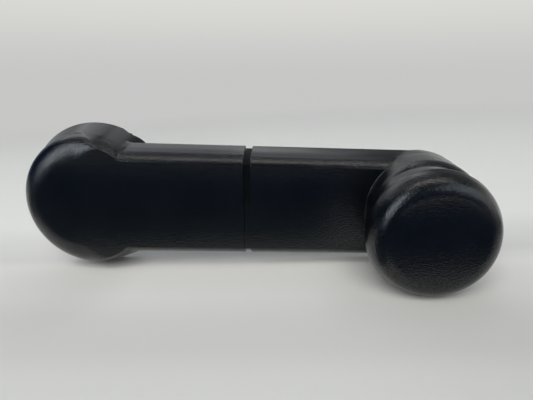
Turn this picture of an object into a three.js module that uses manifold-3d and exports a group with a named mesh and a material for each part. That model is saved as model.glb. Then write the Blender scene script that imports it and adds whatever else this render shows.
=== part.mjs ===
// Car window winder handle: a black moulded crank with a turning knob and a slide-off hub cover.
// Millimetres. The pieces are drawn lying on their back: x runs from the spindle axis to the knob,
// y runs across the arm, and z rises from the rear rim of the hub to the face of the handle.
// The last lines stand the handle up as it hangs on a door: face to -Y, long edge level, +Z up.
import * as THREE from "three";
import { mergeVertices } from "three/addons/utils/BufferGeometryUtils.js";
import Module from "manifold-3d";

const wasm = await Module();
wasm.setup();

// Driving sizes
const crankLength = 100; // spindle axis to knob axis
const wall = 2; // moulded skin of the cover and the arm
const clearance = { touch: 0.3, slide: 0.3, stack: 0.2, overrun: 1 };

const hub = {
  rimRadius: 23.7, // rear rim, next to the door
  shoulderRadius: 21.4, // where the drafted wall turns into the dome
  shoulderHeight: 7.4,
  roundWidth: 7, // how far the dome's round reaches in to the flat face
  headroom: 0.4, // over the screw head
};
const arm = {
  backHeight: 5, // back edge over the plane of the rear rim
  rootHalfWidth: 18.3, // at the spindle axis, on the back edge
  tipHalfWidth: 16.7, // at the knob axis, on the back edge
  draft: 2.4, // how far the side walls lean in from back to face
  edgeWidth: 3, // round between side wall and face, across the face
  edgeHeight: 4.5, // and down the side wall
  seam: 51.1, // middle of the groove between cover and arm
  grooveWidth: 2,
  grooveDepth: 0.6,
};
// Hollow corner between arm and hub: it sharpens towards the face, and the dome's round runs out beside it.
const neck = {
  radius: 4.5,
  faceRadius: 0.5,
  fadeDepth: 5.7, // under the face, where it starts to sharpen
  sharpDepth: 1, // under the face, where it is sharp
  crispAngle: 70, // degrees from the arm, up to which the hub's wall runs straight to the face
  roundAngle: 104, // degrees from the arm, from which the dome has its whole round
};
const notch = { length: 2.4, rest: 2.1 }; // pry notch across the groove, which ends this far under the face

const insert = { radius: 8.8, inset: 0.5, splineDepth: 5.6, web: 1.2, flutes: 20, fluteDepth: 0.5 };
const spline = { rootRadius: 4.9, tipRadius: 4.45, teeth: 18 };
const flatWasher = { innerRadius: 3.3, outerRadius: 6.2, thickness: 0.8 };
const springWasher = { innerRadius: 3.3, outerRadius: 5.5, thickness: 0.8, rise: 0.3, split: 0.5 };
const screw = {
  radius: 3,
  length: 8,
  pitch: 1,
  threadDepth: 0.45,
  headRadius: 5.3,
  headHeight: 2,
  headRound: 1,
  slotLength: 6,
  slotWidth: 1.2,
  slotDepth: 1.2,
};

const boss = { wall: 3.9, lid: 1.3 }; // the arm's sleeve round the insert
const tongue = { thickness: 2, ribWidth: 2, ribSpread: 8, spigot: 4 }; // slides into the cover

const pedestal = {
  radius: 16.9, // round end of the arm, carried up to the knob
  offset: 1.5, // its centre lies this far beyond the knob axis
  frontRadius: 19.7, // flatter front towards the arm
  frontOffset: 5.4,
  blend: 1.6,
  draft: 0.3,
  rise: 10.2, // top over the arm's face
  roundRise: 5.6,
  roundWidth: 4.4,
};
const pinBoss = { wall: 3.2, seatDepth: 4.4 }; // sleeve round the pin; its end lies this deep in the back
const ribs = { width: 1.6, count: 6, spacing: 11 };

const knob = {
  runningGap: 0.5,
  rearRadius: 16.1,
  lipRadius: 16.3,
  flankHeight: 6.2,
  wall: 2.2,
  floor: 2,
  bossRadius: 6.2,
  bossRise: 1.7, // over the body's lip
  rearRound: 0.6,
};
const cap = {
  lipRadius: 16.6,
  rimRadius: 17.05,
  rimHeight: 0.5,
  sideRadius: 11.3, // slightly bulged side over the rim
  sideStart: 8, // degrees that it leans in at the rim
  sideEnd: 32, // and where the shoulder starts
  shoulderRadius: 5.2, // round between side and face
  faceSlope: 5, // degrees
  crown: 0.15,
  wall: 2,
  skirtDepth: 2.6,
  skirtWall: 1.5,
  ribWidth: 1.4,
  hollowRadius: 6.8,
};
const waveWasher = { radius: 8.6, thickness: 0.4, wave: 0.35, waves: 3 };
const bush = { wall: 1, flangeRadius: 5.8, flangeThickness: 0.8 };
const pin = { radius: 3, headRadius: 5, headHeight: 1.6, headRound: 0.6, tail: 1.2, grooveDepth: 0.7 };
const backWasher = { radius: 6, thickness: 0.8 };
const ring = { width: 2.6, thickness: 0.7, opening: 0.7 };

// Facets of round pieces
const facets = { large: 64, middle: 48, small: 24, corner: 5, fine: 4, least: 2 };

// Heights that follow from the stack on the spindle
const insertTop = insert.inset + insert.splineDepth + insert.web;
const flatWasherBase = insertTop + clearance.stack;
const springWasherBase = flatWasherBase + flatWasher.thickness + clearance.stack;
const springWasherTop = springWasherBase + springWasher.thickness + springWasher.rise;
const screwHeadBase = springWasherTop + clearance.stack;
const screwHeadTop = screwHeadBase + screw.headHeight;
const faceHeight = screwHeadTop + hub.headroom + wall;
const bossTop = insertTop + clearance.touch + boss.lid;
const tongueBase = bossTop - tongue.thickness;
const railTop = tongueBase - clearance.slide;
const bossRadius = insert.radius + clearance.touch + boss.wall;
const slotHalfWidth = bossRadius + clearance.slide;

// Places along the arm
const coverEnd = arm.seam - arm.grooveWidth / 2;
const skinStart = arm.seam + arm.grooveWidth / 2;
const spigotStart = coverEnd - tongue.spigot;

// Heights that follow from the knob's pivot
const pedestalTop = faceHeight + pedestal.rise;
const knobRear = pedestalTop + knob.runningGap;
const knobLip = knobRear + knob.flankHeight;
const knobBossTop = knobLip + knob.bossRise;
const capLip = knobLip + clearance.touch;
const capAngles = [cap.sideStart, cap.sideEnd, THREE.MathUtils.radToDeg(Math.PI / 2) - cap.faceSlope]
  .map(THREE.MathUtils.degToRad);
const [capSideSine, capShoulderSine, capFaceSine] = capAngles.map(Math.sin);
const capShoulder = capLip + cap.rimHeight + cap.sideRadius * (capShoulderSine - capSideSine);
const capFace = capShoulder + cap.shoulderRadius * (capFaceSine - capShoulderSine);
const waveHeight = waveWasher.thickness + 2 * waveWasher.wave;
const waveBase = pedestalTop + clearance.stack;
const knobSeat = waveBase + waveHeight + clearance.stack;
const bushRadius = pin.radius + clearance.touch + bush.wall;
const bushFlangeBase = knobBossTop + clearance.stack;
const pinHeadBase = bushFlangeBase + bush.flangeThickness + clearance.stack;
const pinBore = pin.radius + clearance.touch;
const pinSeat = arm.backHeight + pinBoss.seatDepth;
const backWasherBase = pinSeat - clearance.stack - backWasher.thickness;
const ringBase = backWasherBase - clearance.stack - ring.thickness;
const pinTail = ringBase - pin.tail;

// Builds a closed geometry's solid, whatever three.js class it comes from.
function solid(geometry) {
  const bare = geometry.clone();
  bare.deleteAttribute("normal");
  bare.deleteAttribute("uv");
  const merged = mergeVertices(bare);
  const vertProperties = merged.attributes.position.array;
  const triVerts = new Uint32Array(merged.index.array);
  return new wasm.Manifold(new wasm.Mesh({ numProp: 3, vertProperties, triVerts }));
}

// A body of revolution about z; the profile is a list of [radius, height].
function revolve(profile, segments) {
  const points = profile.map(([radius, height]) => new THREE.Vector2(radius, height));
  return solid(new THREE.LatheGeometry(points, segments).rotateX(Math.PI / 2));
}

// A hollow or plain round column between two heights.
function column(outer, base, top, segments, inner = 0) {
  return revolve([[inner, base], [outer, base], [outer, top], [inner, top], [inner, base]], segments);
}

// A straight prism of an outline given as [x, y] points, between two heights.
function prism(outline, base, top) {
  const shape = new THREE.Shape(outline.map(([x, y]) => new THREE.Vector2(x, y)));
  const options = { depth: top - base, bevelEnabled: false };
  return solid(new THREE.ExtrudeGeometry(shape, options).translate(0, 0, base));
}

function block(fromX, toX, fromY, toY, fromZ, toZ) {
  const size = [toX - fromX, toY - fromY, toZ - fromZ];
  const middle = [(fromX + toX) / 2, (fromY + toY) / 2, (fromZ + toZ) / 2];
  return solid(new THREE.BoxGeometry(...size).translate(...middle));
}

// A skin over rings of equally many points, closed at the first and last ring.
function loft(levels) {
  const count = levels[0].length;
  const positions = levels.flat().flat();
  const indices = [];
  for (let level = 0; level + 1 < levels.length; level++)
    for (let i = 0; i < count; i++) {
      const a = level * count + i;
      const b = level * count + ((i + 1) % count);
      indices.push(a, b, b + count, a, b + count, a + count);
    }
  const flat = (points) => points.map(([x, y]) => new THREE.Vector2(x, y));
  const last = (levels.length - 1) * count;
  for (const [a, b, c] of THREE.ShapeUtils.triangulateShape(flat(levels[0]), [])) indices.push(a, c, b);
  for (const [a, b, c] of THREE.ShapeUtils.triangulateShape(flat(levels.at(-1)), []))
    indices.push(last + a, last + b, last + c);
  const geometry = new THREE.BufferGeometry();
  geometry.setAttribute("position", new THREE.Float32BufferAttribute(positions, 3));
  geometry.setIndex(indices);
  return solid(geometry);
}

// A flat ring bent out of its plane: lift gives its height at each angle, and an open ring has two ends.
function ringBand({ inner, outer, base, thickness, lift = () => 0, from = 0, to = 2 * Math.PI, segments }) {
  const closed = to - from === 2 * Math.PI;
  const stations = closed ? segments : segments + 1;
  const positions = [];
  for (let i = 0; i < stations; i++) {
    const angle = from + ((to - from) * i) / segments;
    const height = base + lift(angle);
    const top = height + thickness;
    const corners = [[inner, height], [outer, height], [outer, top], [inner, top]];
    for (const [radius, z] of corners)
      positions.push(radius * Math.cos(angle), radius * Math.sin(angle), z);
  }
  const indices = [];
  for (let i = 0; i < segments; i++)
    for (let k = 0; k < 4; k++) {
      const a = 4 * i + k;
      const b = 4 * i + ((k + 1) % 4);
      const c = 4 * ((i + 1) % stations) + ((k + 1) % 4);
      const d = 4 * ((i + 1) % stations) + k;
      indices.push(a, c, b, a, d, c);
    }
  const end = 4 * (stations - 1);
  if (!closed) indices.push(0, 1, 2, 0, 2, 3, end, end + 2, end + 1, end, end + 3, end + 2);
  const geometry = new THREE.BufferGeometry();
  geometry.setAttribute("position", new THREE.Float32BufferAttribute(positions, 3));
  geometry.setIndex(indices);
  return solid(geometry);
}

// Points of an arc, ends included.
function arc(centreX, centreY, radiusX, radiusY, from, to, steps) {
  return Array.from({ length: steps + 1 }, (_, i) => {
    const angle = from + ((to - from) * i) / steps;
    return [centreX + radiusX * Math.cos(angle), centreY + radiusY * Math.sin(angle)];
  });
}

// How far the arm's side walls lean in at a height, the round of the face's edge included.
function lean(height) {
  const depth = faceHeight - arm.backHeight;
  const straight = (arm.draft * (height - arm.backHeight)) / depth;
  const intoRound = Math.max(0, height - (faceHeight - arm.edgeHeight)) / arm.edgeHeight;
  return straight + arm.edgeWidth * (1 - Math.sqrt(Math.max(0, 1 - intoRound ** 2)));
}

function halfWidth(x, height) {
  return arm.rootHalfWidth - ((arm.rootHalfWidth - arm.tipHalfWidth) * x) / crankLength - lean(height);
}

// Outer radius of the hub at a height: a drafted wall, then the round of the dome, which runs out into
// a crisp edge on the side of the arm. Angles are measured from the arm.
function hubRadius(height, angle) {
  const { rimRadius, shoulderRadius, shoulderHeight, roundWidth } = hub;
  const wallRadius = (z) => rimRadius + ((shoulderRadius - rimRadius) * z) / shoulderHeight;
  const away = THREE.MathUtils.radToDeg(Math.abs(Math.atan2(Math.sin(angle), Math.cos(angle))));
  const share = THREE.MathUtils.smoothstep(away, neck.crispAngle, neck.roundAngle);
  const roundStart = faceHeight - (faceHeight - shoulderHeight) * share;
  if (height <= roundStart || share === 0) return wallRadius(height);
  const into = Math.min(1, (height - roundStart) / (faceHeight - roundStart));
  return wallRadius(roundStart) - roundWidth * share * (1 - Math.sqrt(1 - into ** 2));
}

// Heights at which the arm's skin has a ring of points.
function armLevels(base, top) {
  const roundStart = faceHeight - arm.edgeHeight;
  const round = arc(0, roundStart, 0, arm.edgeHeight, 0, Math.PI / 2, facets.corner).map(([, z]) => z);
  const between = [arm.backHeight, (arm.backHeight + roundStart) / 2, ...round];
  return [base, ...between.filter((z) => z > base && z < top), top];
}

// The arm between two places along it, drawn in by an inset and cut off at two heights.
function armBlock({ from, to, inset = 0, base = arm.backHeight, top = faceHeight }) {
  const ringAt = (z) => {
    const near = halfWidth(from, Math.max(arm.backHeight, z)) - inset;
    const far = halfWidth(to, Math.max(arm.backHeight, z)) - inset;
    return [[from, -near, z], [to, -far, z], [to, far, z], [from, near, z]];
  };
  return loft(armLevels(base, top).map(ringAt));
}

// The hollow corners where the arm runs into the hub, drawn level by level on both sides.
function neckBlock() {
  const ringAt = (z) => {
    const depth = faceHeight - z;
    const hollow = THREE.MathUtils.smoothstep(depth, neck.sharpDepth, neck.fadeDepth);
    const radius = neck.faceRadius + (neck.radius - neck.faceRadius) * hollow;
    const width = halfWidth(hub.rimRadius, z);
    const hubR = hubRadius(z, 0);
    const centreX = Math.sqrt((hubR + radius) ** 2 - (width + radius) ** 2);
    const start = Math.atan2(-width - radius, -centreX);
    const corner = arc(centreX, width + radius, radius, radius, start, -Math.PI / 2, facets.corner);
    const upper = corner.map(([x, y]) => [x, y, z]);
    const lower = upper.map(([x, y]) => [x, -y, z]).reverse();
    return [[0, 0, z], ...lower.reverse(), ...upper.reverse()];
  };
  return loft(armLevels(arm.backHeight, faceHeight).map(ringAt));
}

// A drafted drum with a domed edge; the dome's round is left out beside the arm.
function hubDome() {
  const { shoulderHeight } = hub;
  const height = faceHeight - shoulderHeight;
  const round = arc(0, shoulderHeight, 0, height, 0, Math.PI / 2, facets.corner + 2).map(([, z]) => z);
  const ringAt = (z) =>
    Array.from({ length: facets.large }, (_, i) => {
      const angle = (2 * Math.PI * i) / facets.large;
      const radius = hubRadius(z, angle);
      return [radius * Math.cos(angle), radius * Math.sin(angle), z];
    });
  return loft([0, ...round].map(ringAt));
}

// The hollow inside the hub, one wall in from the dome.
function hubHollow() {
  const { shoulderRadius, shoulderHeight, roundWidth, rimRadius } = hub;
  const roof = faceHeight - wall;
  const round = arc(
    shoulderRadius - roundWidth, shoulderHeight,
    roundWidth - wall, roof - shoulderHeight,
    0, Math.PI / 2, facets.corner,
  );
  const slope = (rimRadius - shoulderRadius) / shoulderHeight;
  const mouth = [rimRadius - wall + slope * clearance.overrun, -clearance.overrun];
  return revolve([[0, -clearance.overrun], mouth, ...round, [0, roof]], facets.large);
}

// Shallow notches across the groove on both side walls, where a blade starts the cover.
function pryCuts() {
  const { overrun } = clearance;
  const from = arm.seam - notch.length / 2;
  const to = arm.seam + notch.length / 2;
  const floor = armBlock({
    from: from - overrun, to: to + overrun, inset: arm.grooveDepth, base: arm.backHeight - overrun,
  });
  const across = arm.rootHalfWidth;
  return block(from, to, -across, across, arm.backHeight - overrun, faceHeight - notch.rest).subtract(floor);
}

function slideCover() {
  const over = clearance.overrun;
  const slot = block(0, coverEnd + over, -slotHalfWidth, slotHalfWidth, -over, railTop);
  const chamber = armBlock({
    from: 0, to: coverEnd + over, inset: wall, base: railTop, top: faceHeight - wall,
  });
  const mouth = armBlock({
    from: spigotStart - clearance.slide, to: coverEnd + over, inset: wall,
    base: arm.backHeight - over, top: faceHeight - wall,
  });
  return hubDome()
    .add(neckBlock())
    .add(armBlock({ from: 0, to: coverEnd }))
    .subtract(hubHollow())
    .subtract(chamber)
    .subtract(mouth)
    .subtract(slot)
    .subtract(pryCuts());
}

// Radius of the pedestal about the knob axis: the round end of the arm, flattened towards the arm.
function pedestalRadius(angle) {
  const { radius, offset, frontRadius, frontOffset, blend } = pedestal;
  const round = (size, ahead) =>
    ahead * Math.cos(angle) + Math.sqrt(size ** 2 - (ahead * Math.sin(angle)) ** 2);
  const back = round(radius, offset);
  const front = round(frontRadius, frontOffset);
  const near = Math.max(blend - Math.abs(front - back), 0);
  return Math.min(front, back) - near ** 2 / (4 * blend);
}

function pedestalBlock(inset, base, top) {
  const { draft, roundRise, roundWidth } = pedestal;
  const roundStart = pedestalTop - roundRise;
  const straight = [[0, arm.backHeight], [draft, roundStart]];
  const round = arc(draft + roundWidth, roundStart, -roundWidth, roundRise, 0, Math.PI / 2, facets.corner);
  const wallLine = [straight[0], ...round]
    .map(([drawIn, z]) => [drawIn + inset, z - inset])
    .filter(([, z]) => z > base && z < top);
  const levels = [[straight[0][0] + inset, base], ...wallLine, [draft + roundWidth + inset, top]];
  const ringAt = ([drawIn, z]) =>
    Array.from({ length: facets.large }, (_, i) => {
      const angle = (2 * Math.PI * i) / facets.large;
      const radius = pedestalRadius(angle) - drawIn;
      return [crankLength + radius * Math.cos(angle), radius * Math.sin(angle), z];
    });
  return loft(levels.map(ringAt));
}

// The tongue that slides into the cover, with its stiffening ribs before and behind.
function tongueBlock() {
  const half = halfWidth(coverEnd, bossTop) - wall - clearance.slide;
  const gap = clearance.touch;
  const plate = block(0, skinStart + wall, -half, half, tongueBase, bossTop);
  const ribTop = faceHeight - wall - clearance.slide;
  const placesY = [-tongue.ribSpread, tongue.ribSpread];
  const rib = (y, from, base, top) =>
    block(from, skinStart + wall, y - tongue.ribWidth / 2, y + tongue.ribWidth / 2, base, top);
  const front = placesY.map((y) => rib(y, hub.shoulderRadius, bossTop - gap, ribTop));
  const back = [0, ...placesY].map((y) => rib(y, hub.shoulderRadius, arm.backHeight, tongueBase + gap));
  const spigot = armBlock({
    from: spigotStart, to: skinStart + wall, inset: wall + clearance.slide,
    base: arm.backHeight, top: faceHeight - wall - clearance.slide,
  });
  return [...front, ...back].reduce((whole, piece) => whole.add(piece), plate).add(spigot);
}

// The sleeve round the insert, and the strip of hub wall that stands in the cover's slot.
function hubBoss() {
  const { touch, slide, overrun } = clearance;
  const sleeve = column(bossRadius, insert.inset, bossTop, facets.middle);
  const seat = column(insert.radius + touch, insert.inset - overrun, insertTop + touch, facets.middle);
  const lidHole = column(flatWasher.outerRadius + touch, insertTop, bossTop + overrun, facets.small);
  const half = slotHalfWidth - slide;
  const strip = hubDome()
    .subtract(hubHollow())
    .intersect(block(0, hub.rimRadius, -half, half, 0, tongueBase + touch));
  return sleeve.add(strip).subtract(seat).subtract(lidHole);
}

// Coring pockets in the back of the arm and round the pin's sleeve, with ribs left between them.
function backPockets() {
  const over = clearance.overrun;
  const start = skinStart + wall;
  const sleeve = pinBore + pinBoss.wall;
  const stop = crankLength - pedestalRadius(Math.PI) + wall;
  const spaces = Math.round((stop - start) / ribs.spacing);
  const pitch = (stop - start) / spaces;
  const cross = Array.from({ length: spaces - 1 }, (_, i) => start + pitch * (i + 1));
  const wide = arm.rootHalfWidth;
  const roof = faceHeight - wall;
  let armPockets = armBlock({
    from: start, to: stop, inset: wall, base: arm.backHeight - over, top: roof,
  }).subtract(block(start - over, stop + over, -ribs.width / 2, ribs.width / 2, -over, roof + over));
  for (const x of cross)
    armPockets = armPockets.subtract(
      block(x - ribs.width / 2, x + ribs.width / 2, -wide, wide, -over, roof + over),
    );
  const depthTop = pedestalTop - wall;
  const cavity = pedestalBlock(wall, arm.backHeight - over, depthTop);
  let round = cavity.subtract(
    column(sleeve, -over, pedestalTop, facets.small).translate([crankLength, 0, 0]),
  );
  for (let i = 0; i < ribs.count; i++) {
    const spoke = block(0, pedestal.radius, -ribs.width / 2, ribs.width / 2, -over, pedestalTop);
    const turned = spoke.rotate([0, 0, (360 * (i + 1 / 2)) / ribs.count]);
    round = round.subtract(turned.translate([crankLength, 0, 0]));
  }
  const seat = column(backWasher.radius + pinBoss.wall, -over, pinSeat, facets.small)
    .translate([crankLength, 0, 0]);
  return armPockets.add(round).add(seat);
}

function armCore() {
  const over = clearance.overrun;
  const bore = column(pinBore, -over, pedestalTop + over, facets.small).translate([crankLength, 0, 0]);
  const grooveFloor = armBlock({
    from: coverEnd + clearance.touch, to: skinStart + wall, inset: arm.grooveDepth,
    base: arm.backHeight + arm.grooveDepth, top: faceHeight - arm.grooveDepth,
  });
  return armBlock({ from: skinStart, to: crankLength })
    .add(grooveFloor)
    .add(pedestalBlock(0, arm.backHeight, pedestalTop))
    .subtract(backPockets())
    .subtract(pryCuts())
    .add(tongueBlock())
    .add(hubBoss())
    .subtract(column(insert.radius + clearance.touch, -over, insertTop + clearance.touch, facets.middle))
    .subtract(column(flatWasher.outerRadius + clearance.touch, insertTop, bossTop + over, facets.small))
    .subtract(bore);
}

// A toothed outline: radius swings between two values once per tooth.
function toothed(low, high, teeth) {
  const stepsPerTooth = 4;
  return Array.from({ length: teeth * stepsPerTooth }, (_, i) => {
    const radius = i % stepsPerTooth < stepsPerTooth / 2 ? high : low;
    const angle = (2 * Math.PI * i) / (teeth * stepsPerTooth);
    return [radius * Math.cos(angle), radius * Math.sin(angle)];
  });
}

function splineInsert() {
  const { radius, inset, splineDepth, flutes, fluteDepth } = insert;
  const body = prism(toothed(radius - fluteDepth, radius, flutes), inset, insertTop);
  const socket = prism(
    toothed(spline.tipRadius, spline.rootRadius, spline.teeth),
    inset - clearance.overrun, inset + splineDepth,
  );
  const hole = column(screw.radius + clearance.touch, inset, insertTop + clearance.overrun, facets.small);
  return body.subtract(socket).subtract(hole);
}

function hubScrew() {
  const { radius, length, pitch, threadDepth, headRadius, headRound } = screw;
  const tip = screwHeadBase - length;
  const turns = Math.floor(length / pitch) - 1;
  const thread = Array.from({ length: turns }, (_, i) => [
    [radius - threadDepth, tip + pitch * i],
    [radius, tip + pitch * (i + 1 / 2)],
  ]).flat();
  const shank = [[0, tip], ...thread, [radius - threadDepth, tip + pitch * turns]];
  const crown = arc(headRadius - headRound, screwHeadTop - headRound, headRound, headRound,
    0, Math.PI / 2, facets.fine);
  const whole = revolve([
    ...shank, [radius - threadDepth, screwHeadBase], [headRadius, screwHeadBase],
    ...crown, [0, screwHeadTop],
  ], facets.small);
  const half = [screw.slotLength / 2, screw.slotWidth / 2];
  const cross = [half, half.toReversed()].map(([x, y]) =>
    block(-x, x, -y, y, screwHeadTop - screw.slotDepth, screwHeadTop + clearance.overrun));
  return whole.subtract(cross[0]).subtract(cross[1]);
}

// The split ring rises evenly from one cut end to the other.
function hubSpringWasher() {
  const { innerRadius, outerRadius, thickness, rise, split } = springWasher;
  const edge = split / outerRadius;
  return ringBand({
    inner: innerRadius, outer: outerRadius, base: springWasherBase, thickness,
    lift: (angle) => (rise * angle) / (2 * Math.PI),
    from: edge, to: 2 * Math.PI - edge, segments: facets.small,
  });
}

function knobBody() {
  const { rearRadius, lipRadius, bossRadius: sleeve, rearRound } = knob;
  const bore = bushRadius + clearance.touch;
  const inner = lipRadius - knob.wall;
  const recess = waveWasher.radius + clearance.touch;
  const floor = knobSeat + knob.floor;
  const corner = arc(rearRadius - rearRound, knobRear + rearRound, rearRound, rearRound,
    -Math.PI / 2, 0, facets.least);
  return revolve([
    [bore, knobSeat], [recess, knobSeat], [recess, knobRear], ...corner,
    [lipRadius, knobLip], [inner, knobLip], [inner, floor], [sleeve, floor],
    [sleeve, knobBossTop], [bore, knobBossTop], [bore, knobSeat],
  ], facets.middle);
}

function knobCap() {
  const rim = capLip + cap.rimHeight;
  const top = capFace + cap.crown;
  const { sideRadius, shoulderRadius } = cap;
  const [from, to, end] = capAngles;
  const sideX = cap.rimRadius - sideRadius * Math.cos(from);
  const sideZ = rim - sideRadius * Math.sin(from);
  const shoulderX = sideX + (sideRadius - shoulderRadius) * Math.cos(to);
  const shoulderZ = sideZ + (sideRadius - shoulderRadius) * Math.sin(to);
  const side = arc(sideX, sideZ, sideRadius, sideRadius, from, to, facets.fine).slice(0, facets.fine);
  const shoulder = arc(shoulderX, shoulderZ, shoulderRadius, shoulderRadius, to, end, facets.corner);
  const spigot = knob.lipRadius - knob.wall - clearance.touch;
  const inner = spigot - cap.skirtWall;
  const roof = capFace - cap.wall;
  const hollow = column(inner, capLip - cap.skirtDepth - clearance.overrun, roof, facets.middle);
  const shell = revolve([
    [0, capLip - cap.skirtDepth], [spigot, capLip - cap.skirtDepth], [spigot, capLip],
    [cap.lipRadius, capLip], ...side, ...shoulder, [0, top],
  ], facets.middle).subtract(hollow);
  const stop = capLip + clearance.touch;
  let web = column(inner + clearance.touch, stop, roof + clearance.touch, facets.middle, cap.hollowRadius);
  const spokes = Array.from({ length: ribs.count }, (_, i) =>
    block(0, inner + clearance.touch, -cap.ribWidth / 2, cap.ribWidth / 2, stop, roof + clearance.touch)
      .rotate([0, 0, (360 * i) / ribs.count]));
  web = web.intersect(spokes.reduce((whole, piece) => whole.add(piece)));
  return shell.add(web);
}

function knobBush() {
  const bore = pin.radius + clearance.touch;
  const top = bushFlangeBase + bush.flangeThickness;
  return revolve([
    [bore, knobSeat], [bushRadius, knobSeat], [bushRadius, bushFlangeBase],
    [bush.flangeRadius, bushFlangeBase], [bush.flangeRadius, top], [bore, top], [bore, knobSeat],
  ], facets.small);
}

function knobPin() {
  const { radius, headRadius, headHeight, headRound, grooveDepth } = pin;
  const headTop = pinHeadBase + headHeight;
  const neckRadius = radius - grooveDepth;
  const grooveEnd = ringBase + ring.thickness + clearance.stack;
  const grooveStart = ringBase - clearance.stack;
  const crown = arc(headRadius - headRound, headTop - headRound, headRound, headRound,
    0, Math.PI / 2, facets.least);
  return revolve([
    [0, pinTail], [radius - headRound, pinTail], [radius, pinTail + headRound],
    [radius, grooveStart], [neckRadius, grooveStart], [neckRadius, grooveEnd], [radius, grooveEnd],
    [radius, pinHeadBase], [headRadius, pinHeadBase], ...crown, [0, headTop],
  ], facets.small);
}

function knobWaveWasher() {
  const { radius, thickness, wave, waves } = waveWasher;
  return ringBand({
    inner: pinBore, outer: radius, base: waveBase, thickness,
    lift: (angle) => wave * (1 + Math.sin(waves * angle)), segments: facets.middle,
  });
}

// The open ring snaps into the pin's groove from the side.
function pinRetainingRing() {
  const inner = pin.radius - pin.grooveDepth + clearance.stack;
  return ringBand({
    inner, outer: inner + ring.width, base: ringBase, thickness: ring.thickness,
    from: ring.opening, to: 2 * Math.PI - ring.opening, segments: facets.small,
  });
}

// Materials
const blackPlastic = { color: 0x14171a, roughness: 0.5, metalness: 0 };
const darkPlastic = { color: 0x1b1d1f, roughness: 0.6, metalness: 0 };
const zincSteel = { color: 0xa9adb0, roughness: 0.35, metalness: 1 };
const brightSteel = { color: 0xc4c7c9, roughness: 0.25, metalness: 1 };
const springSteel = { color: 0x6f7173, roughness: 0.4, metalness: 1 };
const nylon = { color: 0xe4e0d4, roughness: 0.55, metalness: 0 };

// Turns a solid into a named mesh with its own material, drawn about an axis at the given x.
function piece(name, body, finish, axisX = 0) {
  const { numProp, vertProperties, triVerts } = body.getMesh();
  const geometry = new THREE.BufferGeometry();
  geometry.setAttribute("position", new THREE.BufferAttribute(new Float32Array(vertProperties), numProp));
  geometry.setIndex(new THREE.BufferAttribute(new Uint32Array(triVerts), 1));
  geometry.computeVertexNormals();
  const mesh = new THREE.Mesh(geometry, new THREE.MeshStandardMaterial(finish));
  mesh.name = name;
  mesh.position.x = axisX;
  return mesh;
}

function spindleGroup() {
  const group = new THREE.Group();
  const flat = column(
    flatWasher.outerRadius, flatWasherBase, flatWasherBase + flatWasher.thickness,
    facets.small, flatWasher.innerRadius,
  );
  group.add(piece("spline_insert", splineInsert(), zincSteel));
  group.add(piece("hub_flat_washer", flat, brightSteel));
  group.add(piece("hub_spring_washer", hubSpringWasher(), springSteel));
  group.add(piece("hub_screw", hubScrew(), zincSteel));
  return group;
}

function knobGroup() {
  const group = new THREE.Group();
  const back = column(
    backWasher.radius, backWasherBase, backWasherBase + backWasher.thickness, facets.small, pinBore,
  );
  group.add(piece("knob_body", knobBody(), darkPlastic));
  group.add(piece("knob_cap", knobCap(), blackPlastic));
  group.add(piece("knob_bush", knobBush(), nylon));
  group.add(piece("knob_pin", knobPin(), brightSteel));
  group.add(piece("knob_wave_washer", knobWaveWasher(), springSteel));
  group.add(piece("pin_back_washer", back, zincSteel));
  group.add(piece("pin_retaining_ring", pinRetainingRing(), springSteel));
  group.position.x = crankLength;
  return group;
}

const handle = new THREE.Group();
handle.add(piece("arm_core", armCore(), blackPlastic));
handle.add(piece("slide_cover", slideCover(), blackPlastic));
handle.add(spindleGroup());
handle.add(knobGroup());
handle.rotation.x = Math.PI / 2;

export default handle;
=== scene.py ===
"""Looks of a car window winder handle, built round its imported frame.

The pieces are drawn in millimetres lying on their back: x runs from the spindle axis to the knob,
y across the arm, and z from the rear rim of the hub to the face. finish_piece() stands them up as the
frame has them, face to -Y, in metres.
"""
import math

import bmesh
import bpy
from mathutils import Matrix, Vector, noise


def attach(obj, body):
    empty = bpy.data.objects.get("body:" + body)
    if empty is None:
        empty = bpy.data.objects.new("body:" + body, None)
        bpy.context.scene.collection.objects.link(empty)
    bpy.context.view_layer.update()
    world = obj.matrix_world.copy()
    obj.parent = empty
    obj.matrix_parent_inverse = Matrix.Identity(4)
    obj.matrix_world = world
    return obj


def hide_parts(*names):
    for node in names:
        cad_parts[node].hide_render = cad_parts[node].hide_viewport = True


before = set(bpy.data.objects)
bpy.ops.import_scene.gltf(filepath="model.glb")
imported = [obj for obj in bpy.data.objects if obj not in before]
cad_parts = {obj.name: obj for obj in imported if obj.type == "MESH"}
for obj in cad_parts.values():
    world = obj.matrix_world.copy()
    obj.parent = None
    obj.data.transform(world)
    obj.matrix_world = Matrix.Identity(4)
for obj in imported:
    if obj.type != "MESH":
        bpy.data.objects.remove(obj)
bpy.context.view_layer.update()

TAU = 2 * math.pi
QUARTER = math.pi / 2
TINY = 1e-6
MILLIMETRE = 0.001

# Sizes in millimetres: those of the solids, but for some rounds, the groove and the notches, which follow
# the highlights of the photo
CRANK = 100.0
WALL = 2.0
GAP = 0.3
STACK = 0.2
OVER = 1.0
FACE = 14.2
SHANK = 3.0
BORE = SHANK + GAP
HUB = dict(rim=23.7, shoulder=21.4, shoulder_z=7.4, round_w=8.4, round_h=6.8)
ARM = dict(back=5.0, root=18.3, tip=16.7, draft=2.4, edge_w=2.2, edge_h=6.8,
           seam=50.55, groove=2.0, groove_depth=0.6, touch=0.06)
NECK = dict(radius=4.5, face_radius=0.5, fade=5.7, sharp=1.0, crisp=68.0, full=98.0, least=0.05, lean=0.8)
NOTCH = dict(length=2.1, rest=2.1)
GATE = dict(rises=(46, 50), falls=(63, 68), mean=0.34, swing=0.75, highest=1.3, ripple=0.05,
            inward=0.4, reach=2.0)
SOFT = dict(cover=0.22, arm=0.28, pedestal=0.3)
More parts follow.
